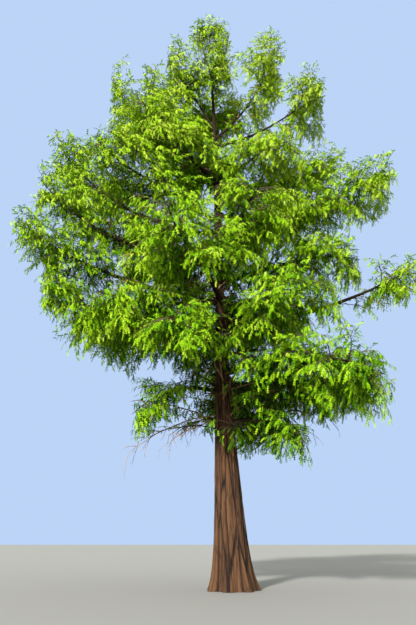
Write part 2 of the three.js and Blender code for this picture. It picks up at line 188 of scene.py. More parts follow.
def trunk_centre(z):
    """Lean and one sine wave to the side, one and a half small waves to and from the front."""
    z = np.asarray(z, float)
    t = z / TREE_HEIGHT
    x = -LEAN * t - SWAY * np.sin(2 * np.pi * t)
    y = SWAY_BACK * np.sin(3 * np.pi * t)
    return np.stack([x, y, z], -1)


def trunk_radius(z, angle=0.0):
    """(slim part + stout part + root flare) times the ribs, which fade with height."""
    slim = STEM_RADIUS * np.maximum(0, 1 - z / TREE_HEIGHT) ** STEM_TAPER
    stout = BUTT_RADIUS * np.maximum(0, 1 - z / BUTT_HEIGHT) ** BUTT_TAPER
    flare = FLARE_RADIUS * np.exp(-z / FLARE_HEIGHT)
    rib = 1 + FLUTE_DEPTH * np.exp(-z / FLUTE_HEIGHT) * np.cos(FLUTES * angle)
    loss = FORK_LOSS * np.maximum(0, z - FORK_HEIGHT) / (TREE_HEIGHT - FORK_HEIGHT)
    return np.maximum(TRUNK_TIP_RADIUS, (slim * (1 - loss) + stout + flare) * rib)


print("trunk thickness at breast height:", round(2 * float(trunk_radius(1.3)), 2), "m")

# %% [markdown]
# ## The limbs
# Each limb is one row of plain sizes: height on the trunk, compass angle (0 is right, 90 away, 180
# left, 270 towards the viewer), reach, rise of its tip, height of its bend, the share of it that is
# bare, and half the width of its foliage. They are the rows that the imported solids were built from,
# so branches grown from them stay where the solids are.

# %% Limb table
LIMBS = [
    ("top_left", 16.6, 192, 1.95, 3.5, 1.7, 0.3, 1.65),
    ("top_right", 18.5, 15, 0.75, 3.1, 1.1, 0, 0.85),
    ("top_front", 17.9, 255, 1.5, 1.8, 0.8, 0, 1.35),
    ("top_back", 17.1, 80, 2.2, 2.1, 0.8, 0, 1.6),
    ("high_right_steep", 16.1, 8, 2.85, 5.0, 1.8, 0.55, 2.0),
    ("high_left_steep", 15.5, 174, 3.0, 4.2, 1.1, 0, 1.6),
    ("high_right", 15.7, 354, 4.35, 2.3, 0.8, 0.64, 1.95),
    ("high_left", 14.5, 190, 4.2, 4.0, 0.9, 0.2, 1.8),
    ("high_back", 15, 98, 3.8, 1.9, 0.5, 0, 2.0),
    ("high_front_left", 14, 229, 4.0, 1.6, 0.6, 0, 2.0),
    ("high_front_right", 14.2, 318, 3.6, 0.2, 0.3, 0, 1.6),
    ("upper_right", 14, 12, 4.9, 1.4, 0.3, 0, 2.1),
    ("upper_left", 11.9, 172, 6.6, 4.7, 0.5, 0.33, 2.0),
    ("upper_right_long", 11.9, 357, 6.6, 2.9, 0.5, 0.3, 1.75),
    ("upper_front_left", 12.4, 222, 5.5, 1.1, 0.4, 0.25, 2.2),
    ("upper_front_right", 11.2, 289, 4.1, 0.4, 0.4, 0, 2.2),
    ("upper_back_right", 12.8, 52, 5.4, 1.8, 0.5, 0, 2.3),
    ("upper_back_left", 11.3, 125, 6.0, 2.0, 0.4, 0.25, 2.4),
    ("middle_left_steep", 10.6, 184, 6.7, 3.4, 0.3, 0.36, 1.9),
    ("middle_left_long", 9.2, 189, 7.3, 2.8, 0.4, 0.45, 1.6),
    ("middle_right", 9.9, 342, 4.9, 0.3, 0.9, 0, 2.0),
    ("middle_right_long", 8.4, 2, 7.0, 2.3, 0.4, 0.74, 1.5),
    ("middle_front", 9.4, 254, 5.7, 0.7, 0.3, 0.28, 2.3),
    ("middle_front_right", 7.85, 306, 4.7, 0.6, 0.4, 0.25, 2.2),
    ("middle_back_right", 9.5, 68, 6.8, 1.4, 0.3, 0.28, 2.5),
    ("middle_back_left", 8.6, 138, 6.9, 1.8, 0.3, 0, 2.5),
    ("middle_left_low", 7.8, 196, 6.2, 1.5, 0.3, 0.33, 1.9),
    ("lower_left", 8.0, 226, 5.2, 0.2, 0.3, 0.25, 2.1),
    ("lower_right_front", 6.7, 320, 5.6, -0.9, 0.5, 0.22, 2.2),
    ("lower_right", 6.3, 20, 6.3, 0.9, 0.4, 0.3, 2.1),
    ("lower_front", 7.2, 250, 4.9, -0.1, 0.5, 0, 1.7),
    ("lower_back", 6.7, 78, 6.7, 0.8, 0.4, 0.33, 2.3),
    ("lowest_left", 6.0, 202, 3.1, -0.9, 0.4, 0.4, 1.2),
    ("lowest_right", 5.0, 330, 2.9, -0.9, 0.3, 0.4, 1.2),
    ("lowest_back", 5.6, 62, 4.5, -0.3, 0.4, 0.4, 1.8),
    ("lowest_front", 4.75, 284, 1.4, -0.1, 0.25, 0, 0.85),
    ("leader", TRUNK_TOP, 0, 0, TREE_HEIGHT - TRUNK_TOP, 0, 0, 0.95),
]
NAMES = [row[0] for row in LIMBS]
HEIGHT, COMPASS, REACH, RISE, KNEE, BARE, SPREAD = np.array([row[1:] for row in LIMBS], float).T
LEADER = NAMES.index("leader")
IS_LEADER = np.arange(len(NAMES)) == LEADER
ANGLE = np.radians(COMPASS)
OUT = np.stack([np.cos(ANGLE), np.sin(ANGLE), 0 * ANGLE], 1)
print("limbs:", len(LIMBS), "of which bare near the trunk:", int((BARE > 0).sum()))

# %% [markdown]
# ## Shoots: one shape for limbs, branches and twigs
# Limbs, side branches and twigs are the same thing at three sizes, so one small class holds them
# all as arrays: a root, a bend and a tip for each, which make a quadratic Bezier curve. Working on
# whole arrays keeps thousands of twigs fast, where a Python loop over them would be slow. A real
# shoot is never a perfect curve, so each also has a small crook, a sine wave that is zero at the
# root.

# %% Shoots
UP = np.array([0.0, 0.0, 1.0])
CROOK_WAVE = 4.4
CROOK_WAVE_EXTRA = 3
CROOK_STARTS = 3
LEVEL_ENOUGH = 1e-4


def chance(seed):
    """A repeatable number from 0 to 1: the fraction of a large sine."""
    wave = np.sin(np.asarray(seed, float) * 12.9898) * 43758.5453
    return wave - np.floor(wave)


def between(low, high, seed):
    """A repeatable number from low to high."""
    return low + (high - low) * chance(seed)


def unit(v):
    """Vectors brought to length 1."""
    return v / np.maximum(np.linalg.norm(v, axis=-1, keepdims=True), 1e-9)


@dataclass
class Shoots:
    """Arrays of curves: (1-t)^2 root + 2t(1-t) bend + t^2 tip, with the radii at both ends, the
    number of the limb that they belong to, and the height of their crook."""

    root: np.ndarray
    bend: np.ndarray
    tip: np.ndarray
    thick: np.ndarray
    thin: np.ndarray
    mass: np.ndarray
    crook: np.ndarray

    def __post_init__(self):
        self.length = (
            np.linalg.norm(self.bend - self.root, axis=1)
            + np.linalg.norm(self.tip - self.bend, axis=1)
            + np.linalg.norm(self.tip - self.root, axis=1)
        ) / 2

    def point(self, i, t):
        """The place at share t along shoot i. The crook is across the shoot and level."""
        t = np.asarray(t, float)[..., None]
        smooth = (1 - t) ** 2 * self.root[i] + 2 * t * (1 - t) * self.bend[i] + t**2 * self.tip[i]
        turns = CROOK_WAVE + chance(i)[..., None] * CROOK_WAVE_EXTRA
        wave = np.sin(turns * t) * np.minimum(1, CROOK_STARTS * t)
        return smooth + self.side(i) * self.crook[i][..., None] * wave

    def way(self, i, t):
        """The direction at share t along shoot i."""
        t = np.asarray(t, float)[..., None]
        return unit((1 - t) * (self.bend[i] - self.root[i]) + t * (self.tip[i] - self.bend[i]))

    def side(self, i):
        """The level direction across shoot i, to its left."""
        along = self.tip[i] - self.root[i]
        level = np.stack([-along[..., 1], along[..., 0], 0 * along[..., 0]], -1)
        upright = np.linalg.norm(level, axis=-1, keepdims=True) < LEVEL_ENOUGH
        return unit(np.where(upright, np.array([1.0, 0.0, 0.0]), level))

    def radius(self, i, t):
        """Thick at the root, thin at the tip."""
        return self.thin[i] + (self.thick[i] - self.thin[i]) * (1 - t) ** LIMB_TAPER

    def arrays(self):
        """The arrays, in order."""
        return self.root, self.bend, self.tip, self.thick, self.thin, self.mass, self.crook

    def keep(self, mask):
        """Only the shoots that the mask marks."""
        return Shoots(*(part[mask] for part in self.arrays()))


def joined(groups):
    """Several tuples of arrays as one tuple of longer arrays."""
    return [np.concatenate(arrays) for arrays in zip(*groups)]


LIMB_RADIUS_SHARE = 0.0125
LIMB_RADIUS_LEAST = 0.026
LIMB_RADIUS_MOST = 0.6
LIMB_TIP_RADIUS = 0.006
LIMB_TAPER = 0.85
KNEE_OUT = 0.6
LIMB_CROOK = 0.09


def limb_shoots():
    """Root on the trunk's middle line, bend at KNEE_OUT of the reach, tip at the full reach and
    rise."""
    root = trunk_centre(HEIGHT)
    bend = root + OUT * (REACH * KNEE_OUT)[:, None] + UP * KNEE[:, None]
    tip = root + OUT * REACH[:, None] + UP * RISE[:, None]
    bend[LEADER] = (root[LEADER] + tip[LEADER]) / 2
    none = np.zeros(len(NAMES))
    limbs = Shoots(root, bend, tip, none, none, np.arange(len(NAMES)), none)
    thick = LIMB_RADIUS_LEAST + LIMB_RADIUS_SHARE * limbs.length
    thick = np.minimum(thick, LIMB_RADIUS_MOST * trunk_radius(HEIGHT))
    thick[LEADER] = TRUNK_TIP_RADIUS
    limbs.thick = thick
    limbs.thin = np.full(len(NAMES), LIMB_TIP_RADIUS)
    limbs.crook = np.where(IS_LEADER, 0, LIMB_CROOK)
    return limbs


limbs = limb_shoots()
print("longest limb:", NAMES[int(limbs.length.argmax())], round(float(limbs.length.max()), 1), "m")

# %% [markdown]
# ## Putting arrays into a mesh
# Blender's operators work on one selected object at a time, and from_pydata wants Python lists.
# foreach_set copies a whole numpy array straight into the mesh, so a million faces take a second.
# Every face here is a triangle, and each only says where its corners start.

# %% Mesh helpers
def make_piece(name, vertices, faces, materials, face_material=None, smooth=True, attributes=None):
    """A mesh object from a (n, 3) array of places and a (m, 3) array of corners, riding on the
    root."""
    mesh = bpy.data.meshes.new(name)
    mesh.vertices.add(len(vertices))
    mesh.vertices.foreach_set("co", np.asarray(vertices, np.float32).ravel())
    mesh.loops.add(faces.size)
    mesh.loops.foreach_set("vertex_index", faces.astype(np.int32).ravel())
    mesh.polygons.add(len(faces))
    starts = np.arange(0, faces.size, faces.shape[1], dtype=np.int32)
    mesh.polygons.foreach_set("loop_start", starts)
    mesh.polygons.foreach_set("use_smooth", np.full(len(faces), smooth))
    for material in materials:
        mesh.materials.append(material)
    if face_material is not None:
        mesh.polygons.foreach_set("material_index", face_material.astype(np.int32))
    for key, values in (attributes or {}).items():
        kind = "FLOAT_VECTOR" if values.ndim == 2 else "FLOAT"
        layer = mesh.attributes.new(key, kind, "POINT")
        slot = "vector" if values.ndim == 2 else "value"
        layer.data.foreach_set(slot, np.asarray(values, np.float32).ravel())
    mesh.update(calc_edges=True)
    mesh.validate()
    piece = bpy.data.objects.new(name, mesh)
    bpy.context.collection.objects.link(piece)
    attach(piece, "root")
    return piece


def tube_faces(rings, sides):
    """Triangles of a tube whose vertices run round ring after ring, and whose last two vertices
    close its ends: those of the walls, the foot and the tip."""
    ring, corner = np.meshgrid(np.arange(rings - 1), np.arange(sides), indexing="ij")
    a = ring * sides + corner
    b = ring * sides + (corner + 1) % sides
    lower = np.stack([a, b, b + sides], -1).reshape(-1, 3)
    upper = np.stack([a, b + sides, a + sides], -1).reshape(-1, 3)
    k = np.arange(sides)
    last = (rings - 1) * sides
    foot = np.stack([(k + 1) % sides, k, np.full(sides, rings * sides)], -1)
    tip = np.stack([last + k, last + (k + 1) % sides, np.full(sides, rings * sides + 1)], -1)
    return np.concatenate([lower, upper]), foot, tip


# %% [markdown]
# ## Bark
# Old dawn redwood bark is reddish brown and peels in long, narrow strips, with furrows between
# them. The strips are tall plates that taper into each other. A displacement modifier could make
# them from a texture, but the exported mesh would need a very fine grid. Here the stem is wrapped
# in a lattice of tall cells, with one plate's middle somewhere in each. A point lies on the plate
# whose middle is nearest, and in a furrow where the second nearest is about as near. Large plates
# carry small ones.

# %% Bark relief
PLATE_COLUMNS = (22, 52)
PLATE_HEIGHTS = (3.8, 1.6)
PLATE_JITTER = 0.8
PLATE_ENDS = 2.2
PLATE_LIFTS = (0.3, 0.2)
PLAIN_RELIEF = 0.55
FURROW_WIDTHS = (0.36, 0.45)
FURROW_DEPTHS = (0.75, 0.4)
FURROW_SHARPNESS = 1.5
STRIP_WANDER = 0.5
LONG_WAVE = 0.9
SHORT_WAVE = 0.37
SHORT_WAVE_SHARE = 0.6
BARK_ROUGHNESS = 0.9
BARK_SHINE = 0.25
FIBRE_NOISE = {"Scale": 55, "Detail": 6, "Roughness": 0.65}
PATCH_NOISE = {"Scale": 5.0, "Detail": 3}
FIBRE_WEIGHT = 0.55
RELIEF_WEIGHT = 0.5
COLOUR_STOPS = (0.3, 0.52, 0.8)
REDDENING = (1.0, 0.78, 0.6, 1)
BUMP = {"Strength": 0.6, "Distance": 0.012}
END_RELIEF = 0.5


def bark_plates(around, along, columns, height, seed):
    """How much nearer the nearest plate's middle is than the next one's, in cells, and a number
    from 0 to 1 that belongs to the nearest plate. Heights count PLATE_ENDS times, which gives the
    plates pointed ends, and each column starts at its own height. Around runs from 0 to 1 and
    closes."""
    u = around * columns
    nearest = np.full(u.shape, 9.0)
    second = nearest.copy()
    own = np.zeros(u.shape)
    for aside in (-1, 0, 1):
        column = np.floor(u) + aside
        stack = seed + 7.13 * (column % columns)
        v = along / height + chance(stack + 1.7)
        for above in (-1, 0, 1):
            row = np.floor(v) + above
            key = stack + 31.77 * row
            gap_u = column + 0.5 + PLATE_JITTER * (chance(key) - 0.5) - u
            gap_v = row + 0.5 + PLATE_JITTER * (chance(key + 3.3) - 0.5) - v
            gap = np.hypot(gap_u, PLATE_ENDS * gap_v)
            nearer = gap < nearest
            second = np.where(nearer, nearest, np.minimum(second, gap))
            own = np.where(nearer, chance(key + 9.1), own)
            nearest = np.where(nearer, gap, nearest)
    return second - nearest, own


def bark_relief(angle, along, seed, column_share=1.0):
    """From 0 in a furrow to 1 on a ridge: plates at two sizes, each with its own height, minus the
    furrows round them. The plates wander to the side by two sine waves of the height."""
    wander = np.sin(along / LONG_WAVE + seed)
    wander = wander + SHORT_WAVE_SHARE * np.sin(along / SHORT_WAVE + 2 * seed + 3 * angle)
    relief = np.full(np.broadcast(angle, along).shape, PLAIN_RELIEF)
    for k in range(2):
        columns = max(3, round(PLATE_COLUMNS[k] * column_share))
        around = angle / (2 * np.pi) + STRIP_WANDER * wander / (PLATE_COLUMNS[0] * 2 * np.pi)
        border, own = bark_plates(around, along, columns, PLATE_HEIGHTS[k], seed + 50 * k)
        furrow = np.clip(1 - border / FURROW_WIDTHS[k], 0, 1) ** FURROW_SHARPNESS
        relief = relief + PLATE_LIFTS[k] * own - FURROW_DEPTHS[k] * furrow
    return np.clip(relief, 0, 1)


def closed(places, straight, relief, ends, straight_ends):
    """A grid as one list of points, with the two that close its ends, and the same for its
    attributes."""
    vertices = np.concatenate([places.reshape(-1, 3), ends])
    straight = np.concatenate([straight.reshape(-1, 3), straight_ends])
    relief = np.concatenate([relief.ravel(), [END_RELIEF, END_RELIEF]])
    return vertices, {"straight": straight, "relief": relief}


def add_node(material, kind, settings=None):
    """A new node, with the named sockets set."""
    node = material.node_tree.nodes.new(kind)
    for socket, value in (settings or {}).items():
        node.inputs[socket].default_value = value
    return node


def bark_material(name, furrow, body, ridge, streak):
    """Fibrous bark. The noise is stretched along the stem in the piece's own 'straight' attribute,
    which is the stem's shape unbent: round its middle line in x and y, and along it in z. The
    colour runs from furrow to ridge with FIBRE_WEIGHT x fibres + RELIEF_WEIGHT x relief, and
    patches of it are reddened. The near-black furrow end is partly the bark's own colour and partly
    painted shade in the furrows."""
    material = bpy.data.materials.new(name)
    material.use_nodes = True
    shader = material.node_tree.nodes["Principled BSDF"]
    shader.inputs["Roughness"].default_value = BARK_ROUGHNESS
    shader.inputs["Specular IOR Level"].default_value = BARK_SHINE
    straight = add_node(material, "ShaderNodeAttribute")
    straight.attribute_name = "straight"
    relief = add_node(material, "ShaderNodeAttribute")
    relief.attribute_name = "relief"
    stretch = add_node(material, "ShaderNodeMapping", {"Scale": (1, 1, streak)})
    fibres = add_node(material, "ShaderNodeTexNoise", FIBRE_NOISE)
    patches = add_node(material, "ShaderNodeTexNoise", PATCH_NOISE)
    height = add_node(material, "ShaderNodeMath", {1: FIBRE_WEIGHT})
    height.operation = "MULTIPLY_ADD"
    less_relief = add_node(material, "ShaderNodeMath", {1: RELIEF_WEIGHT})
    less_relief.operation = "MULTIPLY"
    ramp = add_node(material, "ShaderNodeValToRGB")
    low, high = ramp.color_ramp.elements
    # Low relief takes the furrow colour: partly the bark's own, partly painted shade in the furrows.
    low.position, low.color = COLOUR_STOPS[0], (*furrow, 1)
    high.position, high.color = COLOUR_STOPS[2], (*ridge, 1)
    middle = ramp.color_ramp.elements.new(COLOUR_STOPS[1])
    middle.color = (*body, 1)
    redden = add_node(material, "ShaderNodeMix")
    redden.data_type = "RGBA"
    redden.blend_type = "MULTIPLY"
    redden.inputs["B"].default_value = REDDENING
    bump = add_node(material, "ShaderNodeBump", BUMP)
    links = material.node_tree.links
    for node, output, target, socket in (
        (straight, "Vector", stretch, "Vector"),
        (stretch, "Vector", fibres, "Vector"),
        (stretch, "Vector", patches, "Vector"),
        (fibres, "Fac", height, 0),
        (relief, "Fac", less_relief, 0),
        (less_relief, "Value", height, 2),
        (height, "Value", ramp, "Fac"),
        (patches, "Fac", redden, "Factor"),
        (ramp, "Color", redden, "A"),
        (redden, "Result", shader, "Base Color"),
        (fibres, "Fac", bump, "Height"),
        (bump, "Normal", shader, "Normal"),
    ):
        links.new(node.outputs[output], target.inputs[socket])
    return material


# The trunk's bark colours are partly its own reddish brown and partly painted shade: they are made
# darker, as the crown shades the trunk.
trunk_bark = bark_material(
    "trunk_bark",
    furrow=(0.008, 0.004, 0.003),
    body=(0.046, 0.024, 0.012),
    ridge=(0.125, 0.068, 0.036),
    streak=0.06,
)
# The boughs' bark colours are darker still: partly their own bark, partly painted shade of the crown
# round them.
limb_bark = bark_material(
    "limb_bark",
    furrow=(0.006, 0.004, 0.003),
    body=(0.026, 0.017, 0.01),
    ridge=(0.085, 0.052, 0.03),
    streak=0.1,
)
print("bark materials:", trunk_bark.name, "and", limb_bark.name)

# %% [markdown]
# ## The trunk
# The trunk is one grid: the angle runs round it and the height runs up it, with the rows closer
# together near the ground, where the viewer is nearest. Each point lies on the trunk's middle line,
# plus the radius, plus the bark's relief. A disc closes the flat cut at the ground and a small
# point closes the top. From 8 m up, inside the crown, the bark is painted darker as painted shade
# of the crown: there the relief that the colour is read from is made less.

# %% Trunk
TRUNK_SIDES = 240
TRUNK_ROWS = 560
TRUNK_RELIEF = 0.085
TRUNK_EVEN = 0.8
ROW_CROWDING = 1.35
TRUNK_SEED = 3
# Painted shade of the crown on the upper trunk: from this height and over this rise the bark colour
# darkens by this share.
PAINTED_SHADE_FROM = 8.0
PAINTED_SHADE_OVER = 6.0
PAINTED_SHADE_BY = 0.7


def trunk_surface():
    """Middle line(z) + radius(z, angle) x (1 + relief) x direction(angle), with the straight and
    relief attributes. Bark of relief TRUNK_EVEN lies at the plain radius."""
    z = TRUNK_TOP * np.linspace(0, 1, TRUNK_ROWS) ** ROW_CROWDING
    angle = np.arange(TRUNK_SIDES) * 2 * np.pi / TRUNK_SIDES
    zz, aa = np.meshgrid(z, angle, indexing="ij")
    relief = bark_relief(aa, zz, seed=TRUNK_SEED)
    size = trunk_radius(zz, aa)
    size = size * (1 + TRUNK_RELIEF * (relief - TRUNK_EVEN))
    out = np.stack([np.cos(aa), -np.sin(aa), 0 * aa], -1)
    places = trunk_centre(zz) + out * size[..., None]
    straight = np.stack([np.cos(aa) * size, np.sin(aa) * size, zz], -1)
    ends = trunk_centre(np.array([0, TRUNK_TOP]))
    # Painted shade: high up, inside the crown, the relief that the colour reads is made less, so the
    # bark is painted darker.
    relief = relief * (1 - PAINTED_SHADE_BY * np.clip((zz - PAINTED_SHADE_FROM) / PAINTED_SHADE_OVER, 0, 1))
    return closed(places, straight, relief, ends, [[0, 0, 0], [0, 0, TRUNK_TOP]])


vertices, bark = trunk_surface()
faces = np.concatenate(tube_faces(TRUNK_ROWS, TRUNK_SIDES))[:, ::-1]
trunk = make_piece("trunk_with_bark", vertices, faces, [trunk_bark], attributes=bark)
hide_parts("trunk")
print("trunk triangles:", len(faces))

# %% [markdown]
# ## The boughs
# A bough is the same kind of grid along its own curve. It swells where it leaves the trunk, as wood
# grows round the joint, and its bark is finer. A bough is one piece from the trunk to its tip, so
# it stands for its own solid and runs on as the stem inside the foliage.

# %% Boughs
LIMB_SIDES = 18
LIMB_ROW_STEP = 0.1
LIMB_ROWS_LEAST = 12
LIMB_RELIEF = 0.14
LIMB_EVEN = 0.5
LIMB_COLUMN_SHARE = 0.22
LIMB_SEEDS = (100, 7)
BARK_APART = 3.0
COLLAR_SWELL = 0.5
COLLAR_LENGTH = 0.3


def limb_surface(i):
    """Curve(t) + radius(t) x (1 + collar) x (1 + relief) x direction round the curve. Each limb
    takes its fibres from another stretch of the noise, BARK_APART further on."""
    rows = max(LIMB_ROWS_LEAST, round(limbs.length[i] / LIMB_ROW_STEP))
    t = np.linspace(0, 1, rows)
    centre = limbs.point(np.full(rows, i), t)
    way = unit(np.gradient(centre, axis=0))
    side = limbs.side(np.full(rows, i))
    over = np.cross(side, way)
    angle = np.arange(LIMB_SIDES) * 2 * np.pi / LIMB_SIDES
    tt, aa = np.meshgrid(t, angle, indexing="ij")
    along = tt * limbs.length[i]
    relief = bark_relief(aa, along, LIMB_SEEDS[0] + LIMB_SEEDS[1] * i, LIMB_COLUMN_SHARE)
    size = limbs.radius(i, tt) * (1 + COLLAR_SWELL * np.exp(-along / COLLAR_LENGTH))
    size = size * (1 + LIMB_RELIEF * (relief - LIMB_EVEN))
    round_it = side[:, None] * np.cos(aa)[..., None] + over[:, None] * np.sin(aa)[..., None]
    places = centre[:, None] + round_it * size[..., None]
    shift = BARK_APART * i
    straight = np.stack([np.cos(aa) * size, np.sin(aa) * size, along + shift], -1)
    ends = [[0, 0, shift], [0, 0, limbs.length[i] + shift]]
    faces = np.concatenate(tube_faces(rows, LIMB_SIDES))
    return faces, *closed(places, straight, relief, centre[[0, -1]], ends)


limb_triangles = 0
for i, name in enumerate(NAMES):
    faces, vertices, bark = limb_surface(i)
    piece = make_piece(f"limb_{name}", vertices, faces, [limb_bark], attributes=bark)
    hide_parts(f"bough_{name}" if BARE[i] > 0 else f"foliage_{name}")
    limb_triangles += len(faces)
print("bough triangles:", limb_triangles)

# %% [markdown]
# ## The space of each mass
# Foliage masses keep apart from each other, and that is what leaves sky between them. A point
# belongs to the limb that it is nearest to, counted in units of each limb's spread, and it may be
# no further away than that spread. The distance to a curve is taken as the distance to the nearest
# of 14 points along it.

# %% Own space
SPACE_SAMPLES = 14
TIP_NARROWING = 0.3
LEADER_SAMPLES = (-1.6, -0.8, 0.1, 0.4)
TRUNK_CLEARANCE = 0.05


def limb_samples():
    """Fourteen points along each limb; the leader's reach down round the top of the trunk."""
    shares = (np.arange(SPACE_SAMPLES) + 1) / SPACE_SAMPLES
    samples = [limbs.point(np.full(SPACE_SAMPLES, i), shares) for i in range(len(NAMES))]
    heights = TRUNK_TOP + (TREE_HEIGHT - TRUNK_TOP) * np.array(LEADER_SAMPLES)
    samples[LEADER] = trunk_centre(heights)
    return samples


SAMPLES = limb_samples()


def nearness(points, limb):
    """Least distance to a sample of one limb, in units of its spread, which narrows towards the
    tip."""
    shares = (np.arange(len(SAMPLES[limb])) + 1) / len(SAMPLES[limb])
    width = SPREAD[limb] * (1 - TIP_NARROWING * shares**3 * (limb != LEADER))
    gaps = np.linalg.norm(points[:, None] - SAMPLES[limb][None], axis=2)
    return (gaps / width).min(1)


def own_nearness(points, mass):
    """The nearness of each point to its own limb."""
    mine = np.zeros(len(points))
    for limb in range(len(NAMES)):
        here = mass == limb
        if here.any():
            mine[here] = nearness(points[here], limb)
    return mine


def from_trunk(points):
    """The level line from the trunk's middle line to each point, and its length."""
    line = points - trunk_centre(points[:, 2])
    line[:, 2] = 0
    return line, np.hypot(line[:, 0], line[:, 1])


def inside_reach(points, mass, most):
    """True where a point is within its own limb's spread and reach, below the top and clear of the
    trunk."""
    ways = np.where(IS_LEADER[:, None], unit(limbs.tip - limbs.root), OUT)
    reach = np.where(IS_LEADER, TREE_HEIGHT - TRUNK_TOP, REACH)
    gone = ((points - limbs.root[mass]) * ways[mass]).sum(1)
    z = points[:, 2]
    clear = (z > TRUNK_TOP) | (from_trunk(points)[1] > trunk_radius(z) + TRUNK_CLEARANCE)
    near = own_nearness(points, mass) < most
    return clear & (z < TREE_HEIGHT) & (gone < reach[mass]) & near


def in_own_space(points, mass):
    """True where a point also is nearer to its own limb than to any other."""
    inside = inside_reach(points, mass, 1.0)
    mine = own_nearness(points, mass)
    for limb in range(len(NAMES)):
        inside &= (mass == limb) | (nearness(points, limb) > mine)
    return inside


# %% [markdown]
# ## Growing: limb, side branch, twig
# The source's rule puts a few twigs on each stem, to the left and the right in turn, swung forwards
# and sagging. Here the same rule runs twice more: side branches on the limbs, then twigs on the
# side branches. A branch whose tip would leave its mass's space is tried shorter, and dropped if
# that doesn't help.

# %% Growing rule
PLACE_IN_STEP = (0.15, 0.85)


class Starts(NamedTuple):
    """For each child: its parent, its place along the parent, its share of the stretch where
    children grow, its hand (1 left, -1 right) and its seed."""

    parent: np.ndarray
    at: np.ndarray
    share: np.ndarray
    hand: np.ndarray
    seeds: np.ndarray


def offspring(parents, spacing, first, last, seed):
    """The starts of children every spacing or so, from first to last along each parent."""
    span = parents.length * (last - first)
    counts = np.maximum(1, np.round(span / spacing)).astype(int)
    parent = np.repeat(np.arange(len(counts)), counts)
    order = np.arange(counts.sum()) - np.repeat(np.cumsum(counts) - counts, counts)
    seeds = seed + 13.7 * parent + 3.1 * order
    share = (order + between(*PLACE_IN_STEP, seeds)) / counts[parent]
    hand = np.where((order + parent) % 2, 1.0, -1.0)
    first = np.broadcast_to(first, len(counts))[parent]
    last = np.broadcast_to(last, len(counts))[parent]
    return Starts(parent, first + (last - first) * share, share, hand, seeds)


def lengths(starts, low, high, shortening=0.0):
    """Lengths from low to high, less by up to the shortening towards the parent's tip."""
    return between(low, high, starts.seeds + 3) * (1 - shortening * starts.share)


ROLL_LEVEL = 30.0
ROLL_STEEP = 90.0
BEND_SHARE = 0.55
CHILD_THICKNESS = 0.75
TIP_THICKNESS = 0.3
TIP_RADIUS = 0.0012
TWIG_CROOK = (0.01, 0.045)
SHORTENING = 0.72
TRIES = 3


def outwards(parents, parent, at, hand, seeds, swing):
    """The parent's way, swung to one hand by the swing angle. A roll tips that hand up or down, by
    at most ROLL_LEVEL on a level parent and ROLL_STEEP, which goes all round, on an upright one."""
    angle = np.radians(swing)[:, None]
    way = parents.way(parent, at)
    side = parents.side(parent)
    steep = np.abs(way[:, 2])
    roll = np.radians(ROLL_LEVEL + (ROLL_STEEP - ROLL_LEVEL) * steep) * between(-1, 1, seeds + 7)
    beside = side * (hand * np.cos(roll))[:, None] + np.cross(way, side) * np.sin(roll)[:, None]
    return way * np.cos(angle) + beside * np.sin(angle)


def grow(parents, starts, length, swing, lift, sag, thickness):
    """Children that leave their parents at a swing angle to one hand and rise by lift. Their bend
    is at BEND_SHARE of their length and their tips sag by a share of it."""
    parent, at, _, hand, seeds = starts
    way = outwards(parents, parent, at, hand, seeds, between(*swing, seeds + 1))
    way = unit(way + UP * between(*lift, seeds + 2)[:, None])
    root = parents.point(parent, at)
    bend = root + way * (BEND_SHARE * length)[:, None]
    tip = root + way * length[:, None] - UP * (sag * length)[:, None]
    thick = np.minimum(thickness, CHILD_THICKNESS * parents.radius(parent, at))
    thin = np.minimum(thick, TIP_THICKNESS * thick + TIP_RADIUS)
    crook = length * between(*TWIG_CROOK, seeds + 5)
    return Shoots(root, bend, tip, thick, thin, parents.mass[parent], crook)


def fitted(make, length):
    """The shoots that make(length) gives, with those that leave their space made shorter, or left
    out."""
    length = length.copy()
    for _ in range(TRIES):
        shoots = make(length)
        stays = in_own_space(shoots.tip, shoots.mass) & in_own_space(shoots.bend, shoots.mass)
        length = np.where(stays, length, length * SHORTENING)
    return shoots.keep(stays)


SIDE_STEP = 0.12
SIDE_LENGTH = (0.98, 0.62)
SIDE_VARIETY = (0.7, 1.0)
SIDE_LAST = 0.985
SIDES = {"swing": (35, 85), "lift": (-0.5, 0.7), "sag": 0.22, "thickness": 0.02}
CROWDING_UP = 0.6
TWIG_STEP = 0.066
TWIG_FIRST = 0.2
TWIG_LENGTH = (0.3, 0.95)
TWIG_SHORTENING = 0.3
TWIGS = {"swing": (25, 75), "lift": (-0.8, 0.45), "sag": 0.3, "thickness": 0.006}
LIMB_TWIG_LENGTH = (0.3, 0.65)
LIMB_TWIGS = {"swing": (20, 80), "lift": (-0.9, 0.6), "sag": 0.25, "thickness": 0.006}
TWIG_REACH = 1.05
LEAFY_CLEARANCE = 0.2

clear = (trunk_radius(HEIGHT) + LEAFY_CLEARANCE) / limbs.length
leafy_from = np.where(IS_LEADER, 0, np.maximum(BARE, clear))
side_step = SIDE_STEP * (1 - CROWDING_UP * np.clip(HEIGHT / TREE_HEIGHT, 0, 1) ** 2)
starts = offspring(limbs, side_step, leafy_from, SIDE_LAST, seed=11)
wide = SPREAD[starts.parent] * (SIDE_LENGTH[0] + (SIDE_LENGTH[1] - SIDE_LENGTH[0]) * starts.share)
wide = wide * lengths(starts, *SIDE_VARIETY)
side_branches = fitted(lambda length: grow(limbs, starts, length, **SIDES), wide)
print("side branches:", len(side_branches.mass), "of", len(wide))

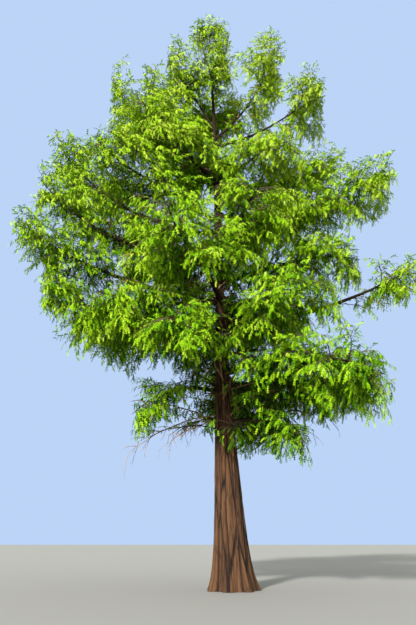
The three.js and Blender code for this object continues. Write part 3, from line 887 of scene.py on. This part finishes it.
starts = offspring(side_branches, TWIG_STEP, TWIG_FIRST, 1.0, seed=501)
twigs = grow(side_branches, starts, lengths(starts, *TWIG_LENGTH, TWIG_SHORTENING), **TWIGS)
twigs = twigs.keep(inside_reach(twigs.tip, twigs.mass, TWIG_REACH))
starts = offspring(limbs, TWIG_STEP, leafy_from, 1.0, seed=901)
limb_twigs = grow(limbs, starts, lengths(starts, *LIMB_TWIG_LENGTH), **LIMB_TWIGS)
limb_twigs = limb_twigs.keep(inside_reach(limb_twigs.tip, limb_twigs.mass, TWIG_REACH))
print("twigs:", len(twigs.mass), "on side branches and", len(limb_twigs.mass), "on limbs")

# %% [markdown]
# ## Bare twigs
# Where the light no longer reaches, old twigs have lost their needles. They leave the bare parts of
# the boughs and the lower trunk itself, arch down, and fork twice. They follow the same growing
# rule, with the trunk as one more parent. Half of them have weathered to a pale tan and the rest
# stay dark. A twig and its forks are a family, and the green ones still carry tassels of needles:
# about half of them low down, most of them high up.

# %% Bare twigs
BARE_TRUNK = (4.7, 11.5)
BARE_HIGHEST = 17.0
BARE_STEP = 0.5
BARE_TRUNK_STEP = 0.05
BARE_FORK_STEP = 0.24
BARE_FORK_FIRST = 0.25
LAST_FORK_FIRST = 0.3
BARE_RADIUS = 0.02
BARE_FIRST = 0.08
BARE_BEYOND = 0.25
ON_LIMBS = {"swing": (25, 85), "lift": (-0.8, 0.4), "sag": 0.4, "thickness": BARE_RADIUS}
ON_TRUNK = {"swing": (50, 95), "lift": (-0.2, 0.5), "sag": 0.35, "thickness": 1.4 * BARE_RADIUS}
FORKS = {"swing": (25, 65), "lift": (-0.6, 0.4), "sag": 0.35, "thickness": 0.55 * BARE_RADIUS}
LAST_FORKS = {"swing": (25, 60), "lift": (-0.6, 0.4), "sag": 0.2, "thickness": 0.35 * BARE_RADIUS}
ON_LIMBS_LENGTH = (0.5, 1.7)
ON_TRUNK_LENGTH = (1.0, 4.0)
ON_TRUNK_SHORTENING = 0.5
FORKS_LENGTH = (0.2, 0.7)
LAST_FORKS_LENGTH = (0.1, 0.3)
PALE_SHARE = 0.5
TASSEL_SHARE = (0.45, 0.95)


def trunk_stretch(low, high):
    """The trunk from one height to another as a single shoot."""
    ends = np.array([low, high])
    root, tip = trunk_centre(ends)[:, None]
    thick, thin = trunk_radius(ends)[:, None]
    return Shoots(root, (root + tip) / 2, tip, thick, thin, np.zeros(1, int), np.zeros(1))


def together(groups):
    """Several groups of shoots as one."""
    return Shoots(*joined(shoots.arrays() for shoots in groups))


def bare_twigs():
    """First twigs on the bare limbs and the trunk, then their forks, and the forks of those, each
    with the number of its first twig. A twig on the trunk belongs to the limb that its tip is
    nearest to."""
    hosts = limbs.keep((BARE > 0) & (HEIGHT < BARE_HIGHEST))
    step = BARE_STEP * (1 - hosts.root[:, 2] / TREE_HEIGHT)
    starts = offspring(hosts, step, BARE_FIRST, BARE[hosts.mass] + BARE_BEYOND, seed=2101)
    on_limbs = grow(hosts, starts, lengths(starts, *ON_LIMBS_LENGTH), **ON_LIMBS)
    on_limbs = on_limbs.keep(inside_reach(on_limbs.tip, on_limbs.mass, 1.0))
    stem = trunk_stretch(*BARE_TRUNK)
    starts = offspring(stem, BARE_TRUNK_STEP, 0.0, 1.0, seed=2301)
    long = lengths(starts, *ON_TRUNK_LENGTH, ON_TRUNK_SHORTENING)
    on_trunk = grow(stem, starts, long, **ON_TRUNK)
    on_trunk.mass = np.argmin([nearness(on_trunk.tip, limb) for limb in range(len(NAMES))], axis=0)
    first = together([on_limbs, on_trunk])
    family = np.arange(len(first.mass))
    starts = offspring(first, BARE_FORK_STEP, BARE_FORK_FIRST, 1.0, seed=2501)
    second = grow(first, starts, lengths(starts, *FORKS_LENGTH), **FORKS)
    second_family = family[starts.parent]
    starts = offspring(second, BARE_FORK_STEP, LAST_FORK_FIRST, 1.0, seed=2701)
    third = grow(second, starts, lengths(starts, *LAST_FORKS_LENGTH), **LAST_FORKS)
    return [(first, family), (second, second_family), (third, second_family[starts.parent])]


def is_green(shoots, family):
    """True for the families of twigs that still have needles, by a share that grows with height."""
    share = TASSEL_SHARE[0] + (TASSEL_SHARE[1] - TASSEL_SHARE[0]) * shoots.root[:, 2] / TREE_HEIGHT
    return chance(2.9 * family + 11) < share


bare = bare_twigs()
tassel_twigs = together(shoots.keep(is_green(shoots, family)) for shoots, family in bare)
print("bare twigs:", [len(family) for _, family in bare], "of which green:", len(tassel_twigs.mass))

# %% [markdown]
# ## Thin tubes, thousands at once
# Side branches and twigs are far too many for one object each. All of one kind become a single
# mesh: every shoot has the same number of rings and corners, so one array holds them all, and the
# face numbers of the first tube repeat with an offset.

# %% Batched tubes
BATCH_RINGS = {"side": 5, "twig": 2, "bare": 3}
BATCH_SIDES = {"side": 5, "twig": 3, "bare": 3}


def tubes(shoots, rings, sides):
    """Curve(t) + radius(t) x direction round it, for all the shoots, as vertices and triangles. The
    rings stand at equal steps from the root on, and the curve's own tip is the point that closes
    each tube."""
    n = len(shoots.mass)
    index, tt = np.meshgrid(np.arange(n), np.linspace(0, 1, rings + 1), indexing="ij")
    line = shoots.point(index, tt)
    way = unit(np.gradient(line, axis=1))[:, :-1]
    centre, index, tt = line[:, :-1], index[:, :-1], tt[:, :-1]
    side = unit(np.cross(way, UP + 0.01))
    over = np.cross(side, way)
    angle = np.arange(sides) * 2 * np.pi / sides
    size = shoots.radius(index, tt)[..., None, None]
    circle = side[:, :, None] * np.cos(angle)[:, None] + over[:, :, None] * np.sin(angle)[:, None]
    walls = (centre[:, :, None] + circle * size).reshape(n, rings * sides, 3)
    vertices = np.concatenate([walls, line[:, [0, -1]]], 1)
    around, foot, tip = tube_faces(rings, sides)
    foot = foot if sides > 3 else np.array([[2, 1, 0]])
    faces = np.concatenate([around, foot, tip])
    faces = faces[None] + (np.arange(n) * vertices.shape[1])[:, None, None]
    return vertices.reshape(-1, 3), faces.reshape(-1, 3)


TWIG_SHINE = 0.1
twig_bark = plain_material("twig_bark", (0.12, 0.09, 0.05), 0.85, TWIG_SHINE)


FAR_FROM = 0.05


def region_of(limb):
    """The tier that a limb's name starts with, and for the two large tiers the side that faces the
    viewer or the far side."""
    if limb == LEADER:
        return "top"
    tier = NAMES[limb].split("_")[0]
    if tier not in ("upper", "middle"):
        return tier
    return tier + ("_far" if math.sin(math.radians(COMPASS[limb])) > FAR_FROM else "_near")


REGION = np.array([region_of(i) for i in range(len(NAMES))])
REGIONS = sorted(set(REGION))


def masses_in(region):
    """The foliage solids of a region, which its pieces stand for."""
    return [f"foliage_{NAMES[i]}" for i in range(len(NAMES)) if REGION[i] == region]


def joined_tubes(groups):
    """The tubes of several groups of (shoots, kind) as one mesh."""
    filled = [(shoots, kind) for shoots, kind in groups if len(shoots.mass)]
    meshes = [tubes(shoots, BATCH_RINGS[kind], BATCH_SIDES[kind]) for shoots, kind in filled]
    offsets = np.cumsum([0] + [len(vertices) for vertices, _ in meshes[:-1]])
    vertices = np.concatenate([vertices for vertices, _ in meshes])
    return vertices, np.concatenate([faces + offset for (_, faces), offset in zip(meshes, offsets)])


twig_triangles = 0
for region in REGIONS:
    groups = ((side_branches, "side"), (twigs, "twig"), (limb_twigs, "twig"))
    here = [(shoots.keep(REGION[shoots.mass] == region), kind) for shoots, kind in groups]
    vertices, faces = joined_tubes(here)
    piece = make_piece(f"twigs_{region}", vertices, faces, [twig_bark])
    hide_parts(*masses_in(region))
    twig_triangles += len(faces)
print("twig triangles:", twig_triangles)

pale_wood = plain_material("pale_bare_wood", (0.42, 0.26, 0.12), 0.8, TWIG_SHINE)
dark_wood = plain_material("dark_bare_wood", (0.04, 0.024, 0.013), 0.85, TWIG_SHINE)
bare_kinds = (("bare_twigs_pale", pale_wood, True), ("bare_twigs_dark", dark_wood, False))
for name, material, is_pale in bare_kinds:
    chosen = []
    for shoots, family in bare:
        pale = chance(1.3 * family + 5) < PALE_SHARE
        chosen.append((shoots.keep(pale == is_pale), "bare"))
    vertices, faces = joined_tubes(chosen)
    piece = make_piece(name, vertices, faces, [material])
    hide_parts("trunk")
    print(name, len(faces), "triangles")

# %% [markdown]
# ## Sprays of needles
# A dawn redwood's leaf looks like a small feather: soft, flat needles in two rows along a thin
# green shoot. One needle is far too small to model here, so a feather of leaflets stands for a few
# real ones. It is a single flat strip of triangles, with its rows folded down a little and its tip
# drooping, which catches the light in many small facets. It could be an instance on points, but the
# export drops instances, so the template is copied by numpy into one joined mesh.

# %% Spray template
LEAFLET_PAIRS = 3
LEAFLET_SWEEP = 0.3
LEAFLET_SWEEP_EXTRA = 0.2
LEAFLET_WIDTH = 0.26
LEAFLET_LAST = 0.95
OUTLINE_STARTS = 0.32
OUTLINE_FULLNESS = 0.7
FOLD = 0.35
DROOP = 0.2


def spray_template():
    """A midrib along x, and on both sides one triangle from each stretch of it to a tip that is
    swept forwards, folded down by a share of its width, and drooping with the square of its
    distance. The outline is a part of a sine's hump."""
    start = np.arange(LEAFLET_PAIRS) / LEAFLET_PAIRS * LEAFLET_LAST
    end = start + LEAFLET_LAST / LEAFLET_PAIRS
    hump = OUTLINE_STARTS + (1 - OUTLINE_STARTS) * start
    width = LEAFLET_WIDTH * np.sin(np.pi * hump) ** OUTLINE_FULLNESS
    sweep = LEAFLET_SWEEP * (1 + LEAFLET_SWEEP_EXTRA * np.arange(LEAFLET_PAIRS) % 2)
    tips_x = np.minimum(1.0, start + sweep)

    def place(x, y):
        return np.stack([x, y, -FOLD * np.abs(y) - DROOP * x**2], -1)

    midrib = [place(start, 0 * start), place(end, 0 * end)]
    vertices = np.concatenate([*midrib, place(tips_x, width), place(tips_x, -width)])
    k = np.arange(LEAFLET_PAIRS)
    n = LEAFLET_PAIRS
    left = np.stack([k, n + k, 2 * n + k], -1)
    right = np.stack([n + k, k, 3 * n + k], -1)
    return vertices, np.concatenate([left, right])


SPRAY_VERTICES, SPRAY_FACES = spray_template()
print("triangles in one spray:", len(SPRAY_FACES))

# %% [markdown]
# ## Keeping the trunk and two limbs in sight
# In the picture the trunk shows between the masses at three heights, and two long limbs on the left
# stand out dark against the green. A crown grown by rule alone would hide them. So most sprays
# between the viewer's place and those stretches are left out, a few neighbours at a time. Faces
# could be deleted there by hand, but a rule stays true when the limbs are moved.

# %% Stretches in sight
TRUNK_IN_SIGHT = ((4.9, 7.0), (8.0, 9.8), (11.9, 13.8))
LIMBS_IN_SIGHT = (("upper_left", 0.3, 0.75), ("middle_left_steep", 0.42, 0.85))
SIGHT_WIDTHS = {"trunk": 0.3, "limb": 0.17}
SIGHT_MARKS = 24
SIGHT_KEEPS = 0.2


def seen_at(points):
    """Where the line of sight through each point meets the trunk's plane, as x and z from the eye,
    and how far away the point is: (x, z from the eye) x distance of the trunk / distance."""
    away = DISTANCE + points[:, 1]
    aside = points[:, [0, 2]] - np.array([EYE_SIDE, EYE_HEIGHT])
    return aside * (DISTANCE / away)[:, None], away


def hides(points, marks, width):
    """True where a point is in front of a mark and looks nearer to it than the width."""
    places, away = seen_at(points)
    targets, beyond = seen_at(marks)
    near = np.linalg.norm(places[:, None] - targets[None], axis=2) < width
    return (near & (away[:, None] < beyond[None])).any(1)


def hides_wood(points):
    """True where a point hides one of the stretches."""
    hidden = np.zeros(len(points), bool)
    for low, high in TRUNK_IN_SIGHT:
        marks = trunk_centre(np.linspace(low, high, SIGHT_MARKS))
        hidden |= hides(points, marks, SIGHT_WIDTHS["trunk"])
    for name, first, last in LIMBS_IN_SIGHT:
        limb = np.full(SIGHT_MARKS, NAMES.index(name))
        marks = limbs.point(limb, np.linspace(first, last, SIGHT_MARKS))
        hidden |= hides(points, marks, SIGHT_WIDTHS["limb"])
    return hidden


print("stretches in sight:", len(TRUNK_IN_SIGHT), "of trunk and", len(LIMBS_IN_SIGHT), "of limbs")

# %% [markdown]
# ## Hanging the sprays on the twigs
# Sprays leave a twig to the left and the right in turn, as the twigs do, and gravity bends them
# down. Each one needs a place, a direction, a direction that its upper face looks in, and a length.
# Needles turn to the light, so the upper faces look up and away from the trunk. Sprays that would
# leave the reach of their mass are left out, and so are most of those that hide a stretch in sight.

# %% Spray places
SPRAY_STEP = 0.066
SPRAY_FIRST = 0.15
SPRAY_LENGTH = (0.13, 0.26)
SPRAY_SHORTENING = 0.25
SPRAY_SWING = (25, 95)
SPRAY_CLOSING = 0.5
SPRAY_DROOP = (-0.4, 1.0)
SPRAY_TILT = (-0.7, 0.7)
SPRAY_REACH = 1.06
CLUMP_FINENESS = 0.35
LOW_DROOP = 0.4
OUTWARD_FACE = 1.0


def sprays_on(shoots, seed):
    """Root, direction, upper side, length, mass, seed and clump of each spray on these shoots. A
    clump is a few neighbours."""
    parent, at, share, hand, seeds = offspring(shoots, SPRAY_STEP, SPRAY_FIRST, 1.0, seed)
    swing = between(*SPRAY_SWING, seeds + 1) * (1 - SPRAY_CLOSING * share)
    way = outwards(shoots, parent, at, hand, seeds, swing)
    start = shoots.point(parent, at)
    droop = between(*SPRAY_DROOP, seeds + 2) + LOW_DROOP * (1 - start[:, 2] / TREE_HEIGHT)
    way = unit(way - UP * droop[:, None])
    length = between(*SPRAY_LENGTH, seeds + 3) * (1 - SPRAY_SHORTENING * share)
    level = unit(np.cross(way, UP + 0.01))
    upper = np.cross(level, way)
    tilt = between(*SPRAY_TILT, seeds + 4)[:, None]
    upper = upper * np.cos(tilt) + level * np.sin(tilt) + OUTWARD_FACE * unit(from_trunk(start)[0])
    upper = unit(upper - way * (upper * way).sum(1, keepdims=True))
    clump = np.floor(seeds * CLUMP_FINENESS)
    return start, way, upper, length, shoots.mass[parent], seeds, clump


sprays = joined(
    [sprays_on(twigs, 1301), sprays_on(limb_twigs, 1701), sprays_on(tassel_twigs, 1901)]
)
root, way, upper, length, mass, seeds, clump = sprays
tips = root + way * length[:, None]
stays = inside_reach(tips, mass, SPRAY_REACH) & inside_reach(root, mass, SPRAY_REACH)
stays &= ~hides_wood((root + tips) / 2) | (chance(clump + 1) < SIGHT_KEEPS)
root, way, upper, length, mass, seeds, clump = (array[stays] for array in sprays)
print("sprays:", len(root), "of", len(stays))

# %% [markdown]
# ## Shades of green
# Young sprays at the outside of the crown are yellow-green, and old ones deep inside are darker. The
# colours also carry painted light and shade: sprays deep inside get the dark shades as painted
# shade, and sprays high up get the light ones as painted light. The colour has a place, so each spray
# is dealt one of a few plain materials: plain colours survive the export, where a pattern on
# thousands of tiny faces would not. A spray's score grows with how far out it is, in its mass and
# along its limb, and with its height. Chance for its clump and chance of its own are added. Then the
# sprays are ranked by their scores, and each shade takes its share of them.

# %% Shades dealt out by spray
# The darker shades are partly old needles and partly painted shade inside the crown; the lighter ones
# are partly young growth and partly painted light.
SHADES = [
    ("needles_shaded", (0.008, 0.036, 0.002)),
    ("needles_deep_shade", (0.055, 0.17, 0.004)),
    ("needles_green", (0.16, 0.34, 0.006)),
    ("needles_bright_painted_light", (0.25, 0.42, 0.012)),
    ("needles_fresh", (0.34, 0.47, 0.04)),
]
SHADE_SHARES = (0.1, 0.3, 0.62, 0.9)
NEEDLE_ROUGHNESS = 0.8
NEEDLE_SHINE = 0.02
OUT_WEIGHT = 0.25
ALONG_WEIGHT = 0.2
CLUMP_WEIGHT = 0.15
CHANCE_WEIGHT = 0.3
# Painted light: the higher a spray, the lighter the shade it is dealt.
HEIGHT_LIGHT_WEIGHT = 0.4
SHORTEST_REACH = 1.5
needle_materials = [plain_material(*shade, NEEDLE_ROUGHNESS, NEEDLE_SHINE) for shade in SHADES]

outness = np.clip(own_nearness(root, mass), 0, 1)
along = np.clip(from_trunk(root)[1] / np.maximum(REACH[mass], SHORTEST_REACH), 0, 1)
# Painted light and shade: sprays far out and high up rank towards the light shades, those deep inside
# towards the dark ones.
growth_and_light_score = (
    OUT_WEIGHT * outness
    + ALONG_WEIGHT * along
    + CLUMP_WEIGHT * chance(clump)
    + CHANCE_WEIGHT * chance(seeds + 9)
    + HEIGHT_LIGHT_WEIGHT * root[:, 2] / TREE_HEIGHT
)
shade = np.digitize(growth_and_light_score, np.quantile(growth_and_light_score, SHADE_SHARES))
print("sprays of each shade:", np.bincount(shade, minlength=len(SHADES)))

# %% [markdown]
# ## The needles as joined meshes
# Every spray is the template, turned and scaled: x runs along its direction, y across it and z to
# its upper side. Each region of the crown is one piece of under 200,000 triangles with all the
# shades as its materials.

# %% Needle pieces
def spray_meshes(chosen):
    """Root + length x (x along + y across + z up) of the template, for the chosen sprays."""
    across = np.cross(upper[chosen], way[chosen])
    axes = np.stack([way[chosen], across, upper[chosen]], 1)
    places = np.einsum("vk,nkc->nvc", SPRAY_VERTICES, axes) * length[chosen][:, None, None]
    places = places + root[chosen][:, None]
    n = len(places)
    faces = SPRAY_FACES[None] + (np.arange(n) * len(SPRAY_VERTICES))[:, None, None]
    return places.reshape(-1, 3), faces.reshape(-1, 3), np.repeat(shade[chosen], len(SPRAY_FACES))


needle_triangles = 0
for region in REGIONS:
    chosen = np.flatnonzero(REGION[mass] == region)
    vertices, faces, face_shade = spray_meshes(chosen)
    name = f"needles_{region}"
    piece = make_piece(name, vertices, faces, needle_materials, face_shade, smooth=False)
    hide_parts(*masses_in(region))
    needle_triangles += len(faces)
    print(name, len(faces), "triangles")
print("needle triangles:", needle_triangles)

# %% [markdown]
# ## Closing
# The last step brings the scene up to date.

# %% Finish
bpy.context.view_layer.update()
